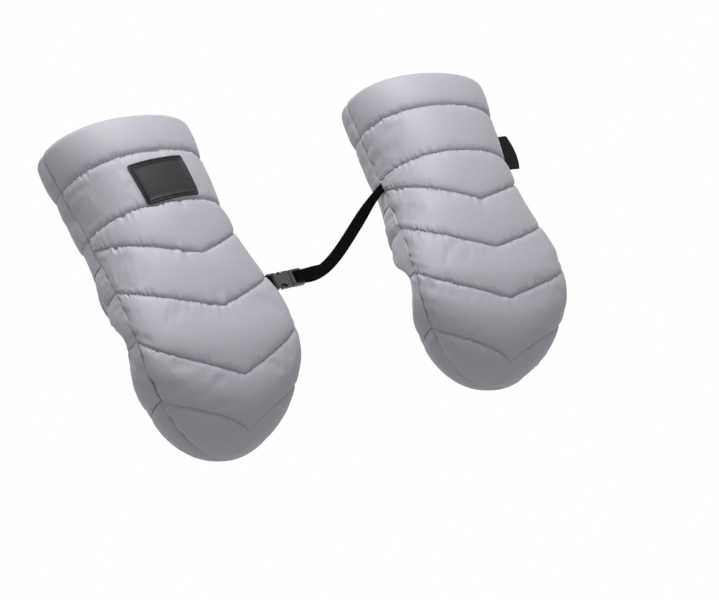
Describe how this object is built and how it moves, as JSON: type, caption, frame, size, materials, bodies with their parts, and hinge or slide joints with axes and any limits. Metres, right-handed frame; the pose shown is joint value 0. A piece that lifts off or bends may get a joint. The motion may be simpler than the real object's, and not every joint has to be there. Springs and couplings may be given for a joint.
{
  "type": "hand muff",
  "caption": "Pair of quilted padded hand muffs that slip over a pram handlebar, with flaps closed by hook-and-loop tape and a strap with a side-release buckle between them",
  "frame": {"origin": "on the axis of the handlebar that the muffs are worn on, halfway between the two mitts", "axes": "+X along the handlebar, from the left mitt to the right one; +Y from the toes to the cuffs; +Z the way that the quilted fronts face"},
  "size_m": [0.4483, 0.2877, 0.1146],
  "materials": {
    "grey_nylon": "smooth water-repellent woven shell, light grey with a lavender cast",
    "fleece_lining": "brushed fleece",
    "polyester_wadding": "white fibre wadding",
    "rubber_patch": "moulded soft rubber, matt",
    "black_webbing": "woven polyester webbing",
    "black_plastic": "moulded acetal, fine satin",
    "hook_and_loop_tape": "hook and loop pile"
  },
  "bodies": {
    "left_muff": {"left_front_lining": "fleece_lining", "left_front_shell": "grey_nylon", "left_front_wadding": "polyester_wadding", "left_inner_gusset": "grey_nylon", "left_loop_tape": "hook_and_loop_tape", "left_outer_gusset": "grey_nylon", "left_rubber_patch": "rubber_patch", "left_toe_cup_lining": "fleece_lining", "left_toe_cup_shell": "grey_nylon", "left_toe_cup_wadding": "polyester_wadding", "left_webbing_stub": "black_webbing", "left_wrist_back_lining": "fleece_lining", "left_wrist_back_shell": "grey_nylon", "left_wrist_back_wadding": "polyester_wadding", "buckle_socket": "black_plastic"},
    "left_closing_flap": {"left_flap_lining": "fleece_lining", "left_flap_shell": "grey_nylon", "left_flap_wadding": "polyester_wadding", "left_hook_tape": "hook_and_loop_tape"},
    "right_muff": {"right_front_lining": "fleece_lining", "right_front_shell": "grey_nylon", "right_front_wadding": "polyester_wadding", "right_inner_gusset": "grey_nylon", "right_loop_tape": "hook_and_loop_tape", "right_outer_gusset": "grey_nylon", "right_side_tag": "black_webbing", "right_toe_cup_lining": "fleece_lining", "right_toe_cup_shell": "grey_nylon", "right_toe_cup_wadding": "polyester_wadding", "right_wrist_back_lining": "fleece_lining", "right_wrist_back_shell": "grey_nylon", "right_wrist_back_wadding": "polyester_wadding", "connecting_strap": "black_webbing", "buckle_plug": "black_plastic"},
    "right_closing_flap": {"right_flap_lining": "fleece_lining", "right_flap_shell": "grey_nylon", "right_flap_wadding": "polyester_wadding", "right_hook_tape": "hook_and_loop_tape"},
    "cuff_side_prong": {"buckle_cuff_prong": "black_plastic"},
    "toe_side_prong": {"buckle_toe_prong": "black_plastic"}
  },
  "joints": [
    {"name": "buckle_release", "type": "slide", "parent": "left_muff", "child": "right_muff", "axis": [1, 0, 0], "range_m": [0, 0.022], "deforming": ["buckle_cuff_prong", "buckle_toe_prong"]},
    {"name": "left_flap_open", "type": "hinge", "parent": "left_muff", "child": "left_closing_flap", "pos_m": [-0.1404, -0.05491, -0.02821], "axis": [-0.998, 0.0349, 0.0523], "range_deg": [0, 100]},
    {"name": "right_flap_open", "type": "hinge", "parent": "right_muff", "child": "right_closing_flap", "pos_m": [0.12843, -0.05435, -0.02821], "axis": [-0.9819, 0.182, -0.0523], "range_deg": [0, 100]},
    {"name": "cuff_prong_squeeze", "type": "hinge", "parent": "right_muff", "child": "cuff_side_prong", "pos_m": [-0.03743, 0.03321, 0.01574], "axis": [0, 0, 1], "range_deg": [0, 11], "stiffness_Nm_per_rad": 0.02},
    {"name": "toe_prong_squeeze", "type": "hinge", "parent": "right_muff", "child": "toe_side_prong", "pos_m": [-0.03743, 0.02411, 0.01574], "axis": [0, 0, -1], "range_deg": [0, 11], "stiffness_Nm_per_rad": 0.02}
  ]
}
